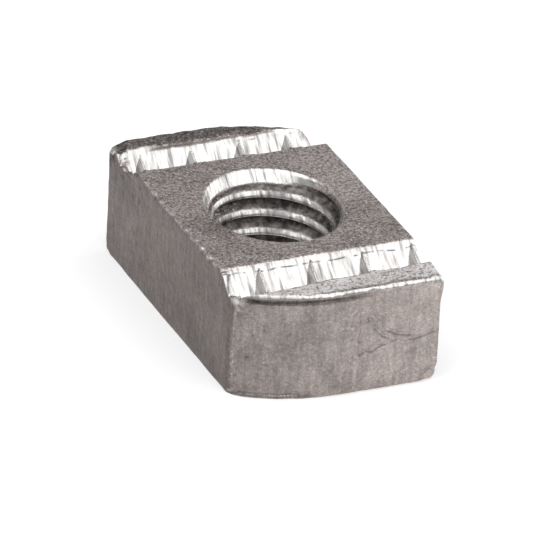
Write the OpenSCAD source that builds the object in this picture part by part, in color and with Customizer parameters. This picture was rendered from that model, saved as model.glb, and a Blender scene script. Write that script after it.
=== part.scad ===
// Channel nut: a thick steel block with a threaded hole through it and a toothed groove
// across each end. It is slipped between the lips of a framing channel, turned a quarter
// turn clockwise, and the two grooves bite on the edges of the lips as the screw is tightened.
//
// Millimetres. The origin is the middle of the bottom face, on the thread's axis. Z runs up
// through the thread to the clamping face, X runs along the grooves, Y along the nut.

/* [Body] */
// width across the two straight sides, which pass the slot of the channel
body_w = 19.4; // [17:0.1:21.5]
// length between the feet of the two end faces
body_l = 33.3; // [30.5:0.1:36]
// thickness from the bottom face to the clamping face
body_h = 11.4; // [8:0.1:14]
// how far the rim of each end stands out past its foot
end_flare = 0.6; // [0.2:0.05:1.2]
// height of the foot, below which each end face is upright
foot_h = 4.6; // [2:0.1:5.5]
// how far the rolled rim runs in over the top of each end
rim_w = 0.9; // [0.4:0.05:1.1]
// drop of the rolled rim at the outside of each end
rim_drop = 0.5; // [0.2:0.05:0.9]
// radius of the two corners that are left square
corner_r = 1.1; // [0.6:0.1:2.5]
// bevel round the bottom face
bottom_bevel = 0.25; // [0.1:0.05:0.8]
// bevel along the two long edges of the clamping face
side_bevel = 0.1; // [0.05:0.05:0.5]

/* [Toothed grooves] */
// distance between the inner edges of the two grooves
groove_gap = 21; // [19.6:0.1:22]
// width of each groove at its mouth
groove_w = 4.4; // [3.8:0.1:4.5]
// distance of the bottom line of each groove from its inner edge
groove_run = 2.4; // [2:0.1:2.8]
// depth of each groove below the clamping face
groove_depth = 2.45; // [1.8:0.05:2.8]
// how far the ridge outside each groove lies below the clamping face
ridge_drop = 0.4; // [0.1:0.05:0.8]
// number of teeth in each groove
teeth = 4; // [3:1:5]
// distance from one tooth to the next
tooth_pitch = 5.1; // [4.4:0.1:5.6]
// height of a tooth above the bottom line of its groove
tooth_h = 0.8; // [0.4:0.05:1.1]
// how far under the two edges of the groove a tooth begins
tooth_start = 0.15; // [0.05:0.05:0.4]
// slope of the two flanks of a tooth, in degrees from flat
tooth_slope = 30; // [26:1:45]
// shift of the front row of teeth along its groove
front_shift = 1.5; // [-2:0.1:1.7]
// shift of the rear row of teeth along its groove
rear_shift = 0.1; // [-2:0.1:1.7]

/* [Thread] */
// major diameter of the thread, 1/2 inch
thread_d = 12.7; // [12.4:0.05:12.9]
// diameter of the bore over the crests of the thread
crest_d = 10.9; // [10.6:0.05:11.2]
// width of the flat at the root of the thread
root_w = 0.12; // [0.04:0.02:0.24]
// distance from one turn to the next, 13 turns to the inch
thread_pitch = 1.954; // [1.9:0.002:2]
// height of the lowest turn over the bottom face, on the right-hand side
thread_from = 0.46; // [0:0.02:1.9]
// diameter of the countersink at the clamping face
sink_d = 14.2; // [13.4:0.1:15.2]
// full angle of the countersink
sink_angle = 90; // [80:5:110]
// diameter of the smaller countersink at the bottom face
under_sink_d = 13.2; // [12.9:0.1:14]

/* [Hidden] */
$fn = 96;
half_w = body_w / 2;
half_l = body_l / 2;
reach = half_l + end_flare;
ridge_z = body_h - ridge_drop;
rim_z = ridge_z - rim_drop;
groove_in = groove_gap / 2;
groove_out = groove_in + groove_w;
groove_low = [groove_in + groove_run, body_h - groove_depth];
sink_h = (sink_d - crest_d) / 2 / tan(sink_angle / 2);
under_sink_h = (under_sink_d - crest_d) / 2;
// how far cutters run past what they cut
over = 2;
// height of the bar that a tooth is made of, most of it under the groove
bar_h = 2.5;
// flats in the roll of the rim
rim_steps = 3;
// arcs that one turn of the thread is made of
turn_parts = 4;

// outline of one end from the axis out: foot, flare and rolled rim, up to the clamping face
end_outline = concat(
    [[0, 0], [half_l - bottom_bevel, 0], [half_l, bottom_bevel], [half_l, foot_h]],
    [for (i = [0 : rim_steps])
        [reach - rim_w + rim_w * cos(90 * i / rim_steps), rim_z + rim_drop * sin(90 * i / rim_steps)]],
    [[reach - rim_w, body_h], [0, body_h]]
);

// section across the nut, with the bevels of the bottom face and of the clamping face
side_outline = [
    [-half_w + bottom_bevel, 0],
    [half_w - bottom_bevel, 0],
    [half_w, bottom_bevel],
    [half_w, body_h - side_bevel],
    [half_w - side_bevel, body_h],
    [-half_w + side_bevel, body_h],
    [-half_w, body_h - side_bevel],
    [-half_w, bottom_bevel]
];

// draws a shape given as distance from the middle and height along X, on the front half
module along_x(from_x, to_x) {
    rotate([90, 0, 90])
        translate([0, 0, from_x])
            linear_extrude(to_x - from_x)
                mirror([1, 0])
                    children();
}

// the half of the front end that runs straight across to a square corner
module square_half() {
    along_x(0, half_w + over) polygon(end_outline);
}

// rounds the square corner off in plan
module corner_cut() {
    difference() {
        translate([half_w - corner_r, -reach - over, -over])
            cube([corner_r + over, corner_r + over, body_h + 2 * over]);
        translate([half_w - corner_r, -reach + corner_r, -2 * over])
            cylinder(r = corner_r, h = body_h + 4 * over);
    }
}

// the solid block: each end is round on the side that leads when the nut turns
module blank() {
    difference() {
        intersection() {
            union() {
                rotate_extrude() polygon(end_outline);
                square_half();
                rotate([0, 0, 180]) square_half();
            }
            translate([0, reach + over, 0])
                rotate([90, 0, 0])
                    linear_extrude(2 * (reach + over))
                        polygon(side_outline);
        }
        corner_cut();
        rotate([0, 0, 180]) corner_cut();
    }
}

// half a tooth: a bar with a sharp back that runs from p out to q, each given as distance
// from the middle and height
module tooth_bar(p, q) {
    run = q - p;
    foot = bar_h / tan(tooth_slope) * norm(run) / run[0];
    translate([0, -p[0], p[1]])
        rotate([atan2(run[0], run[1]), 0, 0])
            translate([0, 0, -over / 2])
                linear_extrude(norm(run) + over)
                    polygon([[0, 0], [-foot, -bar_h], [foot, -bar_h]]);
}

// a tooth lies across the groove, lowest over the groove's bottom line
module tooth() {
    low = groove_low + [0, tooth_h];
    tooth_bar([groove_in, body_h - tooth_start], low);
    tooth_bar(low, [groove_out, ridge_z - tooth_start]);
}

// the front groove, with its teeth left standing
module groove_cut(shift) {
    difference() {
        along_x(-half_w - over, half_w + over)
            polygon([[groove_in, body_h + over], [groove_in, body_h], groove_low,
                     [groove_out, ridge_z], [groove_out, body_h + over]]);
        for (i = [0 : teeth - 1])
            translate([(i - (teeth - 1) / 2) * tooth_pitch + shift, 0, 0])
                tooth();
    }
}

// the step down from the clamping face to the ridge outside the front groove
module ridge_cut() {
    along_x(-half_w - over, half_w + over)
        translate([(groove_in + groove_out) / 2, ridge_z])
            square([reach, body_h]);
}

// the groove between the crests, a right-hand screw made of short arcs that each climb a little
module thread_cut() {
    back = crest_d / 2 - 0.25;
    mouth = root_w / 2 + (thread_d / 2 - back) * tan(30);
    part = 360 / turn_parts;
    lean = atan(thread_pitch / turn_parts / (thread_d * sin(part / 2)));
    parts = turn_parts * ceil((body_h - thread_from) / thread_pitch + 2);
    for (i = [0 : parts])
        translate([0, 0, thread_from + (i / turn_parts - 1) * thread_pitch])
            rotate([0, 0, i * part])
                rotate([lean, 0, 0])
                    rotate([0, 0, -part / 2 - 0.5])
                        rotate_extrude(angle = part + 1)
                            polygon([[back, -mouth], [thread_d / 2, -root_w / 2],
                                     [thread_d / 2, root_w / 2], [back, mouth]]);
}

// the bore over the crests, opened out at both faces
module bore() {
    translate([0, 0, -over])
        cylinder(d = crest_d, h = body_h + 2 * over);
    translate([0, 0, body_h - sink_h])
        cylinder(d1 = crest_d, d2 = sink_d, h = sink_h);
    cylinder(d1 = under_sink_d, d2 = crest_d, h = under_sink_h);
}

// the whole nut, one piece of forged and tapped steel
module channel_nut() {
    color([0.45, 0.42, 0.40])
    difference() {
        blank();
        groove_cut(front_shift);
        ridge_cut();
        rotate([0, 0, 180]) {
            groove_cut(-rear_shift);
            ridge_cut();
        }
        bore();
        thread_cut();
    }
}

channel_nut();
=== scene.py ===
"""A channel nut lying on a pale floor: one block of forged steel with a tapped hole and two toothed
grooves. Everything is in metres in the frame of the CAD part; the piece's own sizes are in millimetres."""

import math

import bmesh
import bpy
import numpy as np
from mathutils import Matrix, Vector


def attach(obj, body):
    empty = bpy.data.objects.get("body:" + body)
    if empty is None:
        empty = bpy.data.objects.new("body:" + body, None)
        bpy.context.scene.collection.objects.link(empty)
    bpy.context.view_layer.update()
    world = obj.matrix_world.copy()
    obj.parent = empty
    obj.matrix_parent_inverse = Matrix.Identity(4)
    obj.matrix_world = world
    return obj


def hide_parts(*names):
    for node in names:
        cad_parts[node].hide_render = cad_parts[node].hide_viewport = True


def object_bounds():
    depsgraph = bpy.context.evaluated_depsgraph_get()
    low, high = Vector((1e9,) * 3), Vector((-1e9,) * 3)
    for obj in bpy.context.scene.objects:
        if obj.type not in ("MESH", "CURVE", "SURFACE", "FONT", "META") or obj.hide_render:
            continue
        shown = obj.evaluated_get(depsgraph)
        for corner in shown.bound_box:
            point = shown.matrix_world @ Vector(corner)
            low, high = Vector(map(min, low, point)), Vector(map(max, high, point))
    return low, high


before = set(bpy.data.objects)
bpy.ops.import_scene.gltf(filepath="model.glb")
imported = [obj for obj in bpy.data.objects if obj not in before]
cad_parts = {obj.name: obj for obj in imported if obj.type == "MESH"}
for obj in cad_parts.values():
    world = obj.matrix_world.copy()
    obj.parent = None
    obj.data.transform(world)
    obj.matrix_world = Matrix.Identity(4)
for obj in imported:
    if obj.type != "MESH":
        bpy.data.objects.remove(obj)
cad_box = [list(corner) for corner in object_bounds()]

# The camera looks down on the nut from the front left through a very long lens, so that lines
# hardly run together, with the small tilt that the photograph has.
CAMERA_TURN, CAMERA_HEIGHT = math.radians(-24.25), math.radians(27.85)
CAMERA_TILT = math.radians(2.75)
CAMERA_DISTANCE, CAMERA_LENS, SENSOR_WIDTH = 0.7748, 562.3, 36
MOVED_RIGHT, MOVED_UP = -0.000277, -0.000176
LOOK_AT = Vector((0, 0, 0.005))

ahead = Vector((-math.sin(CAMERA_TURN) * math.cos(CAMERA_HEIGHT),
                math.cos(CAMERA_TURN) * math.cos(CAMERA_HEIGHT),
                -math.sin(CAMERA_HEIGHT)))
level = Vector((math.cos(CAMERA_TURN), math.sin(CAMERA_TURN), 0))
upright = level.cross(ahead)
right = math.cos(CAMERA_TILT) * level + math.sin(CAMERA_TILT) * upright
up = -math.sin(CAMERA_TILT) * level + math.cos(CAMERA_TILT) * upright
stand = LOOK_AT - CAMERA_DISTANCE * ahead + MOVED_RIGHT * right + MOVED_UP * up

camera = bpy.data.objects.new("camera", bpy.data.cameras.new("camera"))
camera.data.sensor_width = SENSOR_WIDTH
camera.data.lens = CAMERA_LENS
camera.data.clip_start = 0.05
camera.matrix_world = Matrix((
    (right.x, up.x, -ahead.x, stand.x),
    (right.y, up.y, -ahead.y, stand.y),
    (right.z, up.z, -ahead.z, stand.z),
    (0, 0, 0, 1)))
bpy.context.scene.collection.objects.link(camera)
bpy.context.scene.camera = camera
bpy.context.scene.view_settings.view_transform = "Standard"


# The floor is a wide sheet of pale card. The camera and mirror-like surfaces see it a little
# brighter than it is lit, so that it is white all round, and it keeps the nut's soft shadow.
CARD_COLOUR, CARD_GLOW, FLOOR_HALF_WIDTH = (0.8, 0.8, 0.8, 1), 0.42, 3


def new_material(name):
    material = bpy.data.materials.new(name)
    material.use_nodes = True
    material.node_tree.nodes.clear()
    return material, material.node_tree.nodes, material.node_tree.links


def put_in_scene(name, bm, material):
    mesh = bpy.data.meshes.new(name)
    bm.to_mesh(mesh)
    bm.free()
    thing = bpy.data.objects.new(name, mesh)
    if material:
        mesh.materials.append(material)
    bpy.context.scene.collection.objects.link(thing)
    return thing


card, nodes, links = new_material("pale_card")
card_out = nodes.new("ShaderNodeOutputMaterial")
paper = nodes.new("ShaderNodeBsdfDiffuse")
paper.inputs["Color"].default_value = CARD_COLOUR
glow = nodes.new("ShaderNodeEmission")
glow.inputs["Color"].default_value = (1, 1, 1, 1)
rays = nodes.new("ShaderNodeLightPath")
seen = None
for ray in ("Is Camera Ray", "Is Glossy Ray", "Is Transmission Ray"):
    either = nodes.new("ShaderNodeMath")
    either.operation = "MAXIMUM"
    links.new(rays.outputs[ray], either.inputs[0])
    if seen:
        links.new(seen, either.inputs[1])
    seen = either.outputs[0]
strength = nodes.new("ShaderNodeMath")
strength.operation = "MULTIPLY"
strength.inputs[1].default_value = CARD_GLOW
links.new(seen, strength.inputs[0])
links.new(strength.outputs[0], glow.inputs["Strength"])
both = nodes.new("ShaderNodeAddShader")
links.new(paper.outputs[0], both.inputs[0])
links.new(glow.outputs[0], both.inputs[1])
links.new(both.outputs[0], card_out.inputs["Surface"])

sheet = bmesh.new()
bmesh.ops.create_grid(sheet, x_segments=1, y_segments=1, size=FLOOR_HALF_WIDTH)
floor = put_in_scene("floor", sheet, card)


# Soft studio light: a large box in front of the nut and above it, which the pressed grooves and
# the countersink throw back, one as large high on the left, a weaker one low on the right, and a
# dim even sky.
def softbox(name, towards, distance, size, power):
    lamp = bpy.data.lights.new(name, "AREA")
    lamp.shape = "SQUARE"
    lamp.size = size
    lamp.energy = power
    box = bpy.data.objects.new(name, lamp)
    place = Vector(towards).normalized() * distance
    box.location = place
    box.rotation_euler = place.to_track_quat("Z", "Y").to_euler()
    bpy.context.scene.collection.objects.link(box)


softbox("front_box", (0.36, -0.47, 0.81), 0.5, 0.5, 1.0)
softbox("side_box", (0.95, 0.1, 0.27), 0.5, 0.36, 0.6)
softbox("left_box", (-0.45, -0.04, 0.89), 0.5, 0.5, 1.15)

sky = bpy.data.worlds.new("studio")
bpy.context.scene.world = sky
sky.use_nodes = True
sky.node_tree.nodes["Background"].inputs["Color"].default_value = (0.34, 0.34, 0.35, 1)
sky.node_tree.nodes["Background"].inputs["Strength"].default_value = 1.0


# The blank: a steel block, sheared and forged, whose ends flare out to a rolled rim. Two of its
# corners are round about the hole, and the other two are square with a small radius. The round
# half of each end is drawn in a little further at its foot than the straight half.
HALF_WIDTH, HALF_LENGTH, THICK, CORNER = 9.66, 17.2, 11.4, 0.9
# outline of an end, as distance from the hole's axis and height
END_OUTLINE = ((0, 0), (16.4, 0), (16.6, 0.12), (16.74, 0.5), (16.72, 3.0), (16.66, 4.7), (16.72, 6.5),
               (16.88, 8.2), (17.0, 9.6), (17.06, 10.2), (17.18, 10.5), (17.18, 10.72), (16.95, 10.96),
               (16.4, 11.02), (15.6, 11.4), (0, 11.4))


def solid_of(points, place, sweep):
    """A flat outline, put in space by place(), closed and pushed along sweep."""
    bm = bmesh.new()
    face = bm.faces.new([bm.verts.new(place(*p)) for p in points])
    moved = bmesh.ops.extrude_face_region(bm, geom=[face])["geom"]
    bmesh.ops.translate(bm, verts=[v for v in moved if isinstance(v, bmesh.types.BMVert)], vec=sweep)
    bmesh.ops.recalc_face_normals(bm, faces=bm.faces)
    return bm


def turned(outline, steps):
    """A solid turned about the hole's axis, from a half outline that begins and ends on the axis."""
    bm = bmesh.new()
    corners = [bm.verts.new((r, 0, z)) for r, z in outline]
    edges = [bm.edges.new(pair) for pair in zip(corners, corners[1:])]
    bmesh.ops.spin(bm, geom=corners + edges, axis=(0, 0, 1), cent=(0, 0, 0), angle=2 * math.pi, steps=steps,
                   use_merge=True)
    bmesh.ops.remove_doubles(bm, verts=bm.verts, dist=1e-4)
    bmesh.ops.recalc_face_normals(bm, faces=bm.faces)
    return bm


def cut(body, bm, how):
    """One solid from two: how is UNION, DIFFERENCE or INTERSECT."""
    tool = put_in_scene("tool", bm, None)
    join = body.modifiers.new(how, "BOOLEAN")
    join.operation = how
    join.solver = "EXACT"
    join.object = tool
    settle(body)
    bpy.data.objects.remove(tool)


def settle(body):
    """The body's modifiers become its mesh."""
    shape = bpy.data.meshes.new_from_object(body.evaluated_get(bpy.context.evaluated_depsgraph_get()))
    body.modifiers.clear()
    old, body.data = body.data, shape
    bpy.data.meshes.remove(old)


nut = put_in_scene("channel_nut_forging", turned(END_OUTLINE, 240), None)
for end in (-1, 1):
    half = solid_of(END_OUTLINE, lambda r, z: (end * 0.3, end * r, z), (-end * (HALF_WIDTH + 0.5), 0, 0))
    cut(nut, half, "UNION")

# the two sheared sides, with the square corners rubbed round
plan = bmesh.new()
bmesh.ops.create_cube(plan, size=2)
bmesh.ops.scale(plan, vec=(HALF_WIDTH, HALF_LENGTH, THICK + 0.6), verts=plan.verts)
uprights = [e for e in plan.edges if abs(e.verts[0].co.z - e.verts[1].co.z) > 1
            and e.verts[0].co.x * e.verts[0].co.y < 0]
bmesh.ops.bevel(plan, geom=uprights, offset=CORNER, segments=8, profile=0.5, affect="EDGES", material=-1)
cut(nut, plan, "INTERSECT")

# The toothed grooves: a V pressed across each end, open at both sides, with sharp-backed teeth
# that bite on the lips of the channel. The ridge outside lies a little below the clamping face.
GROOVE = ((9.7, 12.6), (9.75, 11.44), (10.1, 11.32), (10.42, 11.1), (12.9, 8.98), (14.9, 10.98),
          (19, 10.98), (19, 12.6))
# places of the backs of the teeth, in the front groove and in the rear one
TEETH = {-1: (-5.95, -0.85, 4.35, 9.25), 1: (-7.4, -2.3, 2.6, 7.4)}
# the back of a tooth is lowest over the groove's bottom line and climbs to both of its edges
TOOTH_HALVES = (((10.6, 11.15), (12.95, 9.84)), ((12.95, 9.84), (14.8, 10.8)))
TOOTH_FOOT, TOOTH_LEFT, TOOTH_RIGHT, TOOTH_ROOT = (12.9, 8.85), 1.55, 0.45, 0.9

for end in (-1, 1):
    cut(nut, solid_of(GROOVE, lambda y, z: (-12, end * y, z), (24, 0, 0)), "DIFFERENCE")
    for back_line in TOOTH_HALVES:
        row = bmesh.new()
        for x in TEETH[end]:
            back = [row.verts.new((x, end * y, z)) for y, z in back_line]
            foot = [row.verts.new((x + dx, end * TOOTH_FOOT[0], TOOTH_FOOT[1] - dz))
                    for dx, dz in ((-TOOTH_LEFT, 0), (TOOTH_RIGHT, 0), (0, TOOTH_ROOT))]
            bmesh.ops.convex_hull(row, input=back + foot)
        bmesh.ops.recalc_face_normals(row, faces=row.faces)
        cut(nut, row, "UNION")

# The press also drives some metal out at the left end of each groove, where it stands as a thin
# wall low in the V, with a scalloped edge at the rear. Each wall is an outline seen from the left.
FRONT_WALL = ((10.5, 11.25), (11.9, 10.05), (12.3, 9.65), (12.9, 9.85), (13.95, 10.5), (13.95, 8.4),
              (10.5, 8.4))
REAR_WALL = ((10.5, 11.2), (10.9, 10.7), (11.4, 10.25), (11.8, 10.2), (12.3, 10.3), (12.8, 10.05),
             (13.3, 10.25), (13.9, 10.15), (14.4, 10.6), (14.8, 10.9), (14.8, 8.4), (10.5, 8.4))
WALL_STANDS_OUT, WALL_THICK = 0.02, 0.6
for end, outline in ((-1, FRONT_WALL), (1, REAR_WALL)):
    wall = solid_of(outline, lambda y, z: (-HALF_WIDTH - WALL_STANDS_OUT, end * y, z), (WALL_THICK, 0, 0))
    cut(nut, wall, "UNION")

# The hole: drilled, countersunk at both faces and tapped, 13 turns to the inch. The tap leaves a
# bright flat on each crest and rough flanks. The upper countersink is worn longer than wide.
PITCH, CREST, ROOT, ROOT_FLAT = 1.954, 5.45, 6.35, 0.12
TURN_STEPS, TURNS = 120, 9
FIRST_TURN = 0.49 - 2 * PITCH

flank = (ROOT - CREST) * math.tan(math.radians(30))
crest_low, crest_high = ROOT_FLAT + flank, PITCH - ROOT_FLAT - flank
section = ((ROOT, -ROOT_FLAT), (ROOT, ROOT_FLAT), (CREST, crest_low), (CREST + 0.04, crest_low + 0.16),
           (CREST + 0.28, crest_high - 0.15), (ROOT, PITCH - ROOT_FLAT))
bore = bmesh.new()
profile = [bore.verts.new((r, 0, z + FIRST_TURN)) for r, z in section]
edges = [bore.edges.new(pair) for pair in zip(profile, profile[1:])]
bmesh.ops.spin(bore, geom=profile + edges, axis=(0, 0, 1), cent=(0, 0, 0), angle=2 * math.pi * TURNS,
               steps=TURN_STEPS * TURNS, dvec=(0, 0, PITCH / TURN_STEPS))
bmesh.ops.remove_doubles(bore, verts=bore.verts, dist=1e-4)
for cut_z, outward in ((-1.0, -1), (THICK + 1.2, 1)):
    bmesh.ops.bisect_plane(bore, geom=bore.verts[:] + bore.edges[:] + bore.faces[:], plane_co=(0, 0, cut_z),
                           plane_no=(0, 0, outward), clear_outer=True)
    rim = [e for e in bore.edges if e.is_boundary and all(abs(v.co.z - cut_z) < 1e-3 for v in e.verts)]
    bmesh.ops.contextual_create(bore, geom=rim)
bmesh.ops.recalc_face_normals(bore, faces=bore.faces)
cut(nut, bore, "DIFFERENCE")

UPPER_SINK = ((0, 13), (8.2, 13), (7.8, 11.6), (7.45, 11.38), (7.25, 11.2), (6.4, 10.42), (5.6, 10.15),
              (5.2, 10.05), (0, 10.05))
LOWER_SINK = ((0, -1), (7.3, -1), (6.5, 0.1), (5.2, 1.4), (0, 1.4))
# how much narrower than long the mouth of the upper countersink is worn
OVAL = 0.14
upper_sink = turned(UPPER_SINK, 180)
for v in upper_sink.verts:
    v.co.x *= 1 - OVAL * min(max((v.co.xy.length - 6.0) / 1.2, 0), 1)
cut(nut, upper_sink, "DIFFERENCE")
cut(nut, turned(LOWER_SINK, 180), "DIFFERENCE")

# The skin: forging and tumbling leave no sharp edge. The solid is rebuilt in small even faces
# and its edges are rubbed round. Then the marks of the press, the shear and the bin are set in.
FACE_SIZE, MOST_TRIANGLES = 0.1, 190000
skin = nut.modifiers.new("even_faces", "REMESH")
skin.mode = "VOXEL"
skin.voxel_size = FACE_SIZE
rub = nut.modifiers.new("rubbed_edges", "SMOOTH")
rub.factor = 0.5
rub.iterations = 2
settle(nut)


def read_skin():
    """Where each vertex of the nut lies, and which way the surface faces there."""
    spot = np.zeros(len(nut.data.vertices) * 3, np.float32)
    facing = np.zeros_like(spot)
    nut.data.vertices.foreach_get("co", spot)
    nut.data.vertex_normals.foreach_get("vector", facing)
    return spot.reshape(-1, 3).astype(float), facing.reshape(-1, 3).astype(float)


def grain(at, cell, seed):
    """Smooth noise from -1 to 1 with bumps about one cell wide, the same on every run."""
    lattice = np.random.default_rng(seed).uniform(-1, 1, (48, 48, 48))
    q = at / cell
    low = np.floor(q).astype(int)
    t = q - low
    t = t * t * (3 - 2 * t)
    total = 0
    for corner in np.ndindex(2, 2, 2):
        weight = np.prod([t[:, k] if corner[k] else 1 - t[:, k] for k in range(3)], axis=0)
        i, j, k = ((low + corner) % 48).T
        total = total + weight * lattice[i, j, k]
    return total


def step(low, high, value):
    """0 below low, 1 above high and a smooth climb between them."""
    t = np.clip((value - low) / (high - low), 0, 1)
    return t * t * (3 - 2 * t)


def off_line(a, b, points):
    """How far each vertex lies from a bent line, seen flat along the third axis."""
    best = np.full(len(a), 1e9)
    for (a0, b0), (a1, b1) in zip(points, points[1:]):
        da, db = a1 - a0, b1 - b0
        t = np.clip(((a - a0) * da + (b - b0) * db) / (da * da + db * db), 0, 1)
        best = np.minimum(best, np.hypot(a - a0 - t * da, b - b0 - t * db))
    return best


def torn_edge(along, is_front):
    """How far the inner edge of a ridge is torn out, or in where it is negative."""
    return 0.16 * grain(np.c_[along, 0 * along, 0 * along], 1.3, 8) - 0.75 * step(-8, 5, along) * is_front


spot, facing = read_skin()
x, y, z = spot.T.copy()
nx, ny, nz = facing.T
reach = np.hypot(x, y)

# the upright edge between each long side and the round half of an end is rubbed to a wider round
EDGE_ROUND = 2.6
over_side = EDGE_ROUND - HALF_WIDTH + np.abs(x)
end_reach = np.interp(z, [h for r, h in END_OUTLINE[1:-1]], [r for r, h in END_OUTLINE[1:-1]])
over_end = EDGE_ROUND - end_reach + reach
lean = np.minimum(np.abs(x) / reach, 0.95)
by_side = (over_side - lean * over_end) / (1 - lean ** 2)
by_end = (over_end - lean * over_side) / (1 - lean ** 2)
away = np.sqrt(np.clip(over_side * by_side + over_end * by_end, 1e-9, None))
outside = (x * y > 0) & (by_side > 0) & (by_end > 0) & (away > EDGE_ROUND) & (reach > 12)
beyond = np.where(outside, (away - EDGE_ROUND) / away, 0) * step(11.2, 10.7, z)
spot[:, 0] -= beyond * (by_side * np.sign(x) + by_end * x / reach)
spot[:, 1] -= beyond * by_end * y / reach

# the outer corners are rubbed round too, each from a point and by a radius
RUBBED_CORNERS = (((-HALF_WIDTH, 17.1, 11.0), 0.8), ((HALF_WIDTH, -16.7, 0), 0.75),
                  ((HALF_WIDTH, -17.1, 11.0), 0.7), ((-HALF_WIDTH, 16.7, 0), 0.5),
                  ((-HALF_WIDTH, -13.9, 0), 0.4))
for corner, radius in RUBBED_CORNERS:
    inward = np.sign(np.array((0, 0, 6)) - corner)
    over = np.clip(radius - (spot - corner) * inward, 0, None)
    away = np.linalg.norm(over, axis=1) + 1e-9
    near = step(2.6, 1.2, np.linalg.norm(spot - corner, axis=1) / radius)
    spot += (near * np.clip(away - radius, 0, None) / away)[:, None] * over * inward

in_hole = step(7.9, 7.3, reach)
front = step(0.5, 0.8, -ny) * (y < -13.5)
left = step(0.6, 0.9, -nx) * (1 - in_hole)
top = step(0.7, 0.95, nz) * step(11.0, 11.2, z)
push = np.zeros(len(x))

# the block as forged is nowhere quite flat, though it is smoother where the grooves were pressed
in_groove = step(10.0, 10.4, np.abs(y)) * step(15.0, 14.8, np.abs(y)) * step(11.3, 11.1, z) * (1 - left)
in_groove *= step(8.7, 8.9, z)
dull = (1 - in_hole) * (1 - 0.75 * in_groove)
push += dull * (0.035 * grain(spot, 4.5, 1) + 0.02 * grain(spot, 1.6, 2) + 0.012 * grain(spot, 0.55, 3))

# the round half of each end stands back at its foot
upright_face = step(0.5, 0.9, np.hypot(nx, ny)) * step(12.5, 14, reach)
round_end = np.clip(by_end, 0, None) / (np.clip(by_end, 0, None) + np.clip(by_side, 0, None) + 1e-6)
push -= 0.4 * upright_face * step(0, 6, x * y / 14) * step(10.5, 2, z) * round_end

# under the rim the front end is drawn in, most of all on the left, and a crease runs down there
shade_line = off_line(x, z, ((-8.6, 10.28), (-7.5, 10.25), (-4, 10.22), (0, 10.22), (3, 10.3)))
push -= front * 0.26 * np.exp(-(shade_line / 0.2) ** 2) * (1 - 0.8 * step(-1, 4.5, x))
crease_line = off_line(x, z, ((-9.6, 9.3), (-8.9, 8.5), (-7.9, 7.7), (-7.0, 7.2)))
push -= front * 0.17 * np.exp(-(crease_line / 0.35) ** 2)

# the left end of the rim is curled down into a small round nub
nub = np.exp(-((x + 9.45) / 0.45) ** 2 - ((z - 9.85) / 0.4) ** 2) * (y < -13)
push += 0.16 * nub

# the shear has left waves, arcs and a few torn hollows on the right half of the front end, each
# a bent line across and up the end, with its width and its depth
SHEAR_LINES = (
    (((1.6, 4.0), (2.3, 4.35), (2.9, 4.2), (3.6, 4.6), (4.8, 4.9)), 0.14, 0.06),
    (((3.0, 8.1), (3.9, 7.2), (4.4, 6.2), (5.4, 5.6), (6.6, 5.3)), 0.18, 0.1),
    (((2.5, 7.6), (3.1, 6.6), (3.9, 5.7), (5.1, 5.0)), 0.16, 0.1),
    (((5.2, 5.2), (6.3, 4.8), (7.6, 4.85), (9.4, 5.4)), 0.14, 0.065),
    (((0.3, 7.4), (1.6, 7.2), (2.6, 7.6)), 0.2, 0.08),
    (((1.7, 7.9), (1.9, 6.4), (1.6, 5.4)), 0.16, 0.11),
    (((8.0, 0.9), (8.6, 1.5), (9.1, 1.4)), 0.14, 0.08),
)
for points, width, depth in SHEAR_LINES:
    away = off_line(x, z, points)
    push -= front * depth * (np.exp(-(away / width) ** 2) - 0.45 * np.exp(-((away - 2 * width) / width) ** 2))
# dents in the front end: place across and up, width, height and depth
FRONT_DENTS = ((0.35, 6.4, 0.35, 0.6, 0.12), (-8.5, 4.3, 0.25, 0.2, 0.1), (-6.9, 3.6, 0.35, 0.18, 0.09),
               (-8.1, 6.6, 0.18, 0.16, 0.13), (-4.4, 5.8, 0.15, 0.15, 0.13), (9.4, 3.9, 0.3, 0.5, 0.16),
               (4.2, 5.9, 0.5, 0.3, 0.05), (-6.3, 8.4, 0.5, 0.4, 0.04), (6.9, 7.7, 0.7, 0.6, 0.05))
for px, pz, width, height, depth in FRONT_DENTS:
    push -= front * depth * np.exp(-((x - px) / width) ** 2 - ((z - pz) / height) ** 2)

# nicks along the left edge of the clamping face, by place, width and depth
EDGE_NICKS = ((7.2, 0.35, 0.14), (5.2, 0.5, 0.2), (3.6, 0.25, 0.1), (1.1, 0.4, 0.12), (-0.6, 0.3, 0.1),
              (-2.2, 0.35, 0.14), (-4.4, 0.25, 0.1), (-6.2, 0.45, 0.2), (-8.0, 0.35, 0.15))
on_edge = np.exp(-((x + HALF_WIDTH) / 0.35) ** 2 - ((z - THICK) / 0.35) ** 2)
for py, width, depth in EDGE_NICKS:
    push -= on_edge * depth * np.exp(-((y - py) / width) ** 2)
push -= on_edge * 0.05 * (1 + grain(spot, 0.7, 4))
# nicks on the clamping face itself, by place in X and Y, width and depth
TOP_NICKS = ((-2.9, 8.3, 0.35, 0.14), (-2.2, 7.6, 0.3, 0.12), (7.5, -4.9, 0.25, 0.1), (5.6, -3.6, 0.35, 0.16),
             (3.3, -8.3, 0.2, 0.1), (5.5, -4.4, 0.25, 0.1), (-6.9, 2.6, 0.2, 0.08), (-7.7, -2.4, 0.5, 0.1))
for px, py, width, depth in TOP_NICKS:
    push -= top * depth * np.exp(-((x - px) / width) ** 2 - ((y - py) / width) ** 2)

# dark forge scale under the burr of the rear groove has left shallow pits on the left side
push -= left * 0.07 * step(0.1, 0.6, grain(spot, 0.8, 5)) * step(7.0, 9.2, z) * step(6.5, 9.5, y)

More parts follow.
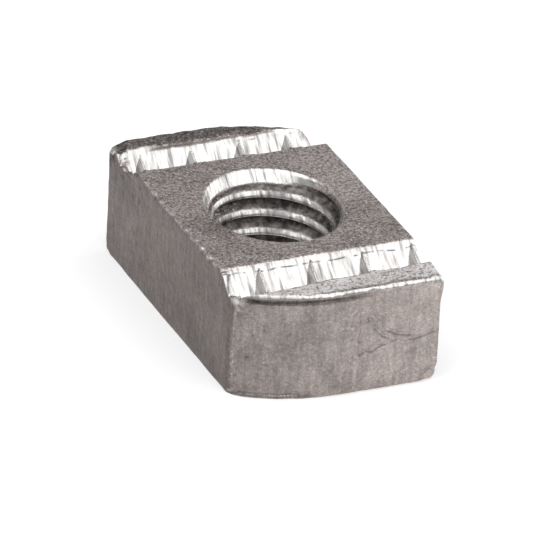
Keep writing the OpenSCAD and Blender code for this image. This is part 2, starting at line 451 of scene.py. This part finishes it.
# the outer ridges are torn rather than pressed, so they are rough and their inner edges wander
ridge = step(14.6, 15.0, np.abs(y)) * step(10.4, 10.7, z) * step(0.5, 0.9, nz)
push += ridge * (0.05 * grain(spot, 0.45, 6) + 0.04 * grain(spot, 0.9, 7))
wander = step(np.where(y < 0, 1.9, 0.8), 0.2, np.abs(np.abs(y) - 14.9))
wander *= step(np.where(y < 0, 9.2, 10.3), 10.7, z)
shift_y = np.sign(y) * wander * torn_edge(x, y < 0)

# the rear ridge stands higher on the left than on the right, and the rim bulges at the front right
lift = (0.2 - 0.25 * step(-1, 6, x)) * step(14.6, 15.3, y) * step(9.8, 10.4, z) * step(-9.6, -8, x)
bulge = 0.28 * np.exp(-((z - 9.8) / 1.1) ** 2 - ((y + 16.9) / 1.0) ** 2) * step(8.6, 9.5, x)

# the tap tears the flanks between the crests
torn_flank = step(5.5, 5.75, reach) * step(6.6, 6.4, reach) * step(10.0, 9.6, z)
push += torn_flank * 0.02 * grain(spot, 0.4, 9)

# the marks are set in, and nothing stands past the part's own length and thickness
spot += push[:, None] * facing
spot[:, 1] += shift_y
spot += np.c_[bulge, 0 * lift, lift]
low, high = np.array(cad_box) * 1000
spot[:, 1:] = np.clip(spot[:, 1:], low[1:], high[1:])
nut.data.vertices.foreach_set("co", spot.astype(np.float32).ravel())
nut.data.update()

thin = nut.modifiers.new("fewer_faces", "DECIMATE")
thin.ratio = min(1.0, MOST_TRIANGLES / (2 * len(nut.data.polygons)))
settle(nut)
nut.data.transform(Matrix.Scale(0.001, 4))
nut.data.shade_smooth()
nut.data.name = "channel_nut_forging"

# The finish: bare steel, dull where it was forged and bright where the press and the tap worked.
# Measures of what happened where are kept on the mesh: pressed steel, torn steel and scale, and also painted
# highlights, painted shade and a lighter right of the clamping face.
# The long sides and the ends are told apart: they are coloured darker than the clamping face, partly for the
# different scale they took in the furnace and partly as painted shade of faces turned from the light.
spot, facing = read_skin()
spot *= 1000
x, y, z = spot.T
nx, ny, nz = facing.T
reach = np.hypot(x, y)

# bright: the grooves, the countersink, the crests and the worn left edge, and painted highlights on the bead
# of the rim and on the nub at its left end
groove = np.maximum(step(10.0, 10.25, -y), step(10.35, 10.5, y))
groove *= step(15.0, 14.8, np.abs(y)) * step(11.38, 11.25, z)
groove *= step(8.7, 8.9, z) * step(0.97, 0.9, nz) * step(0.9, 0.6, np.abs(nx)) * step(16.7, 16.4, reach)
groove *= 1 - step(10.7, 10.85, z) * step(13.4, 13.8, np.abs(y))
painted_highlight_bead = step(15.9, 16.3, reach) * step(10.3, 10.45, z) * step(0.1, 0.3, nz) * step(0.97, 0.85, nz)
sink = step(7.9, 7.6, reach) * step(6.2, 6.4, reach) * step(10.3, 10.5, z) * step(0.97, 0.88, nz)
crest = step(5.82, 5.72, reach) * step(0.5, 0.7, np.hypot(nx, ny)) * step(1, 1.3, z)
edge_wear = np.exp(-((x + HALF_WIDTH) / 0.28) ** 2 - ((z - THICK) / 0.24) ** 2)
edge_wear *= step(-0.3, 0.2, grain(spot, 0.45, 11)) * step(8.5, 7, y)
painted_highlight_nub = 0.75 * np.exp(-((x + 9.4) / 0.35) ** 2 - ((z - 9.95) / 0.35) ** 2) * (y < -13)

# the clamping face is coloured a little brighter towards its right
top_lighter_right = np.exp(-((x - 7.6) / 2.2) ** 2 - ((y - 3.5) / 6.0) ** 2) * (z > 11.2) * step(9.8, 9.2, np.abs(y))

# dark: scale on the rear ridge and by the hole, a darker rear left corner, and painted shade under the burr
# and the rim and in thin lines along the rear lip and the inner edge of the front ridge
rear_ridge = step(14.3, 14.8, y) * step(0.1, 0.3, nz) * step(10.1, 10.4, z) * step(9, 6.5, x)
painted_shade_under_burr = np.exp(-((y - 12) / 3.2) ** 2 - ((z - 8.6) / 1.4) ** 2) * (x < -9)
by_hole = np.exp(-((x + 6.8) / 1.6) ** 2 - ((y + 2.6) / 2.6) ** 2)
by_hole += np.exp(-((x - 6.2) / 1.0) ** 2 - ((y + 2.6) / 1.4) ** 2)
painted_shadow_under_rim = np.exp(-((z - 10.22) / 0.2) ** 2) * (y < 0) * step(16, 16.5, reach)
painted_shadow_under_rim *= step(4.5, -1, x) * step(-9.2, -8.2, x)
painted_shade_rear_lip = np.exp(-((y - 10.25) / 0.2) ** 2) * (z > 10.9)
painted_shade_ridge_line = np.exp(-((y + 14.95 + torn_edge(x, True)) / 0.11) ** 2) * (z > 10.5) * step(-7, -4, x)
darker_rear_left_corner = step(15.0, 15.8, y) * step(-8.0, -8.8, x) * step(9.4, 10.0, z)
# painted shade: thin dark lines in the crevices at the left ends of the grooves, coloured like the torn
# flanks
CREVICE_SHADE_LINES = (((-9.05, -10.75), (-9.25, -11.2), (-9.45, -11.7), (-9.5, -12.1)),
            ((-9.15, 14.8), (-9.4, 14.6), (-9.5, 14.2)))
crevice_shade = sum(np.exp(-(off_line(x, y, line) / 0.13) ** 2) for line in CREVICE_SHADE_LINES)
# the scale measure holds real scale and painted shade together
MEASURES = {
    "scale": np.clip(0.75 * rear_ridge + 0.5 * painted_shade_under_burr + 0.45 * by_hole * (z > 11.2) + 0.9 * painted_shade_rear_lip
                     + painted_shadow_under_rim + darker_rear_left_corner + 0.8 * painted_shade_ridge_line, 0, 1),
    "top_right_lift": top_lighter_right,
    "pressed_and_highlit": np.maximum.reduce([groove, painted_highlight_bead, sink, crest, edge_wear, painted_highlight_nub]),
    "torn_and_crevice_shade": step(5.72, 5.82, reach) * step(6.6, 6.45, reach) * step(10.5, 10.3, z) + crevice_shade * (z > 9.2),
    "rough_ridge": step(13.5, 13.9, -y) * step(16.7, 16.4, -y) * step(10.6, 10.85, z) * step(0.3, 0.6, nz),
    # painted shade on the tooth flanks that face left
    "tooth_flank_shade": groove * step(0.25, 0.4, -nx),
    "side": step(0.8, 0.96, np.abs(nx)) * step(8, 9, np.abs(x)),
    "end": step(0.5, 0.8, np.hypot(nx, ny)) * step(13, 14, reach) * step(0.96, 0.8, np.abs(nx)),
}
for name, value in MEASURES.items():
    nut.data.attributes.new(name, "FLOAT", "POINT").data.foreach_set("value", value.astype(np.float32))


FORGED_TOP = (0.64, 0.56, 0.525, 1)
# the long sides and the ends are coloured darker than the clamping face, partly their own scale and partly
# painted shade
SIDE_SCALE_AND_SHADE, END_SCALE_AND_SHADE = (0.158, 0.132, 0.122, 1), (0.318, 0.281, 0.264, 1)
TORN_RIDGE, LEDGE_SHADE = (1.0, 0.93, 0.9, 1), (0.12, 0.105, 0.1, 1)
PRESSED_AND_HIGHLIGHT_BRIGHT, PRESSED_STREAK = (0.8, 0.785, 0.765, 1), (0.28, 0.265, 0.255, 1)
# darker copies of the pressed colours, painted shade on the tooth flanks that face left
SHADED_FLANK_LIGHT, SHADED_FLANK_STREAK = (0.28, 0.265, 0.255, 1), (0.13, 0.122, 0.118, 1)
TORN_AND_SHADE_DARK, TORN_AND_SHADE_LIGHT = (0.06, 0.053, 0.05, 1), (0.26, 0.24, 0.23, 1)
DULL_ROUGHNESS, PRESSED_ROUGHNESS = 0.42, 0.3
# distance of the ledge in each groove from the hole's axis, and how far it wanders, in metres
LEDGE_AT, LEDGE_WANDER = 0.01068, 0.00012

steel, nodes, links = new_material("forged_steel")
out = nodes.new("ShaderNodeOutputMaterial")
metal = nodes.new("ShaderNodeBsdfPrincipled")
metal.inputs["Metallic"].default_value = 1.0
links.new(metal.outputs[0], out.inputs["Surface"])
where = nodes.new("ShaderNodeTexCoord").outputs["Object"]


def measure(name):
    node = nodes.new("ShaderNodeAttribute")
    node.attribute_name = name
    return node.outputs["Fac"]


def plug(socket, value):
    """A link where value is an output, and otherwise the value itself."""
    if isinstance(value, bpy.types.NodeSocket):
        links.new(value, socket)
    else:
        socket.default_value = value


def blend(a, b, share, how="MIX"):
    """Colour a turned into colour b by a share."""
    node = nodes.new("ShaderNodeMix")
    node.data_type = "RGBA"
    node.blend_type = how
    plug(node.inputs["Factor"], share)
    plug(node.inputs[6], a)
    plug(node.inputs[7], b)
    return node.outputs[2]


def number(how, a, b):
    node = nodes.new("ShaderNodeMath")
    node.operation = how
    plug(node.inputs[0], a)
    plug(node.inputs[1], b)
    return node.outputs[0]


def spread(value, low, high, to_low, to_high):
    """A value from low to high, carried over to the range from to_low to to_high."""
    node = nodes.new("ShaderNodeMapRange")
    for socket, given in zip(node.inputs, (value, low, high, to_low, to_high)):
        plug(socket, given)
    return node.outputs[0]


def speckle(per_mm, detail=3.0, stretch=(1, 1, 1)):
    """Noise with so many bumps to the millimetre, which may be drawn out along an axis."""
    turn = nodes.new("ShaderNodeMapping")
    turn.inputs["Scale"].default_value = [1000 * k for k in stretch]
    links.new(where, turn.inputs["Vector"])
    node = nodes.new("ShaderNodeTexNoise")
    node.inputs["Scale"].default_value = per_mm
    node.inputs["Detail"].default_value = detail
    links.new(turn.outputs[0], node.inputs["Vector"])
    return node.outputs["Fac"]


(scale, top_right_lift, pressed_and_highlit, torn_and_shade_here, rough_ridge, tooth_flank_shade, side_face,
 end_face) = (measure(name) for name in MEASURES)
place = nodes.new("ShaderNodeSeparateXYZ")
links.new(where, place.inputs[0])
coarse, fine, dust = speckle(0.35), speckle(1.6), speckle(5.0, 2.0)
grooved = speckle(3.0, 2.0, (1, 0.12, 0.12))
drawn = speckle(2.2, 3.0, (1, 1, 0.12))

# partly painted shade: the long sides and the ends take darker colours than the clamping face
dull_colour = blend(FORGED_TOP, SIDE_SCALE_AND_SHADE, side_face)
# the ends are coloured lighter towards the right
end_lighter_to_right = spread(place.outputs["X"], -0.009, 0.009, 0.9, 1.35)
end_colour = blend(END_SCALE_AND_SHADE, end_lighter_to_right, 1.0, "MULTIPLY")
dull_colour = blend(dull_colour, end_colour, end_face)
dull_colour = blend(dull_colour, TORN_RIDGE, rough_ridge)
calm = number("MAXIMUM", side_face, end_face)
shade = number("MULTIPLY", spread(coarse, 0.3, 0.7, 0.84, 1.16), spread(drawn, 0.3, 0.7, 0.84, 1.16))
pits = spread(speckle(2.8, 2.0), 0.35, 0.55, spread(calm, 0.0, 1.0, 0.5, 0.86), 1.03)
sparks = spread(dust, 0.45, 0.72, 0.85, spread(calm, 0.0, 1.0, 1.6, 1.12))
specks = spread(speckle(6.0, 0.0), 0.66, 0.74, 1.0, spread(calm, 0.0, 1.0, 2.4, 1.3))
sparks = number("MULTIPLY", sparks, specks)
# real scale and painted shade darken the dull steel
scale_and_shade_darkening = number("SUBTRACT", 1.0, number("MULTIPLY", scale, spread(fine, 0.35, 0.6, 0.85, 0.5)))
dull_tone_and_shade = number("MULTIPLY", number("MULTIPLY", shade, pits), number("MULTIPLY", sparks, scale_and_shade_darkening))
# the right of the clamping face is coloured brighter
dull_tone_and_shade = number("MULTIPLY", dull_tone_and_shade, spread(top_right_lift, 0.0, 1.0, 1.0, 1.35))
dull_colour = blend(dull_colour, dull_tone_and_shade, 1.0, "MULTIPLY")
bright_colour = blend(PRESSED_AND_HIGHLIGHT_BRIGHT, PRESSED_STREAK, spread(grooved, 0.45, 0.72, 0.0, 1.0))
# painted shade: the tooth flanks that face left take the darker copy of the pressed colours
shaded_flank_colour = blend(SHADED_FLANK_LIGHT, SHADED_FLANK_STREAK, spread(grooved, 0.4, 0.6, 0.0, 1.0))
bright_colour = blend(bright_colour, shaded_flank_colour, tooth_flank_shade)
# pressed steel and the painted highlights take the bright colour
colour = blend(dull_colour, bright_colour, pressed_and_highlit)

# painted shade: a thin broken dark line runs along each groove, in place of a ledge where the die slid before
# it bit
out_y = number("ABSOLUTE", place.outputs["Y"], 0.0)
ledge_y = number("ADD", out_y, spread(speckle(0.3, 1.0, (1, 0, 0)), 0.3, 0.7, -LEDGE_WANDER, LEDGE_WANDER))
painted_ledge_shade = spread(number("ABSOLUTE", number("SUBTRACT", ledge_y, LEDGE_AT), 0.0), 0.00003, 0.0001, 1.0, 0.0)
broken = spread(speckle(0.8, 3.0, (1, 0, 0)), 0.45, 0.52, 0.0, 1.0)
painted_ledge_shade = number("MULTIPLY", number("MULTIPLY", painted_ledge_shade, pressed_and_highlit), broken)
colour = blend(colour, LEDGE_SHADE, number("MULTIPLY", painted_ledge_shade, 0.85))

# painted glints: on the left of the hole the dark torn colour breaks into specks of the colour beneath, so
# the torn flanks of the thread glitter
painted_glint = spread(dust, 0.55, 0.7, 1.0, spread(place.outputs["X"], -0.003, 0.0, 0.3, 1.0))
# the torn colour also paints the shade in those crevices
torn_and_shade_colour = blend(TORN_AND_SHADE_DARK, TORN_AND_SHADE_LIGHT, spread(fine, 0.4, 0.7, 0.0, 1.0))
colour = blend(colour, torn_and_shade_colour, number("MULTIPLY", torn_and_shade_here, painted_glint))
links.new(colour, metal.inputs["Base Color"])

# pressed steel is smoother, and the torn ridge is rougher
smoothed = spread(pressed_and_highlit, 0.0, 1.0, DULL_ROUGHNESS, PRESSED_ROUGHNESS)
rough = number("ADD", smoothed, number("MULTIPLY", rough_ridge, 0.2))
plug(metal.inputs["Roughness"], number("ADD", rough, spread(fine, 0.3, 0.7, -0.06, 0.06)))

# fine relief: pits and dust on the dull steel, drawn lines on the pressed steel and on the sides
height = number("MULTIPLY", spread(fine, 0.0, 1.0, 0.0, 0.05), spread(pressed_and_highlit, 0.0, 1.0, 1.0, 0.15))
height = number("ADD", height, number("MULTIPLY", dust, spread(pressed_and_highlit, 0.0, 1.0, 0.022, 0.004)))
height = number("ADD", height, number("MULTIPLY", grooved, spread(pressed_and_highlit, 0.0, 1.0, 0.0, 0.035)))
height = number("ADD", height, number("MULTIPLY", drawn, number("MULTIPLY", side_face, 0.03)))
bump = nodes.new("ShaderNodeBump")
bump.inputs["Strength"].default_value = 1.0
bump.inputs["Distance"].default_value = 0.001
links.new(height, bump.inputs["Height"])
links.new(bump.outputs[0], metal.inputs["Normal"])
nut.data.materials.append(steel)

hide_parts("channel_nut")
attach(nut, "root")
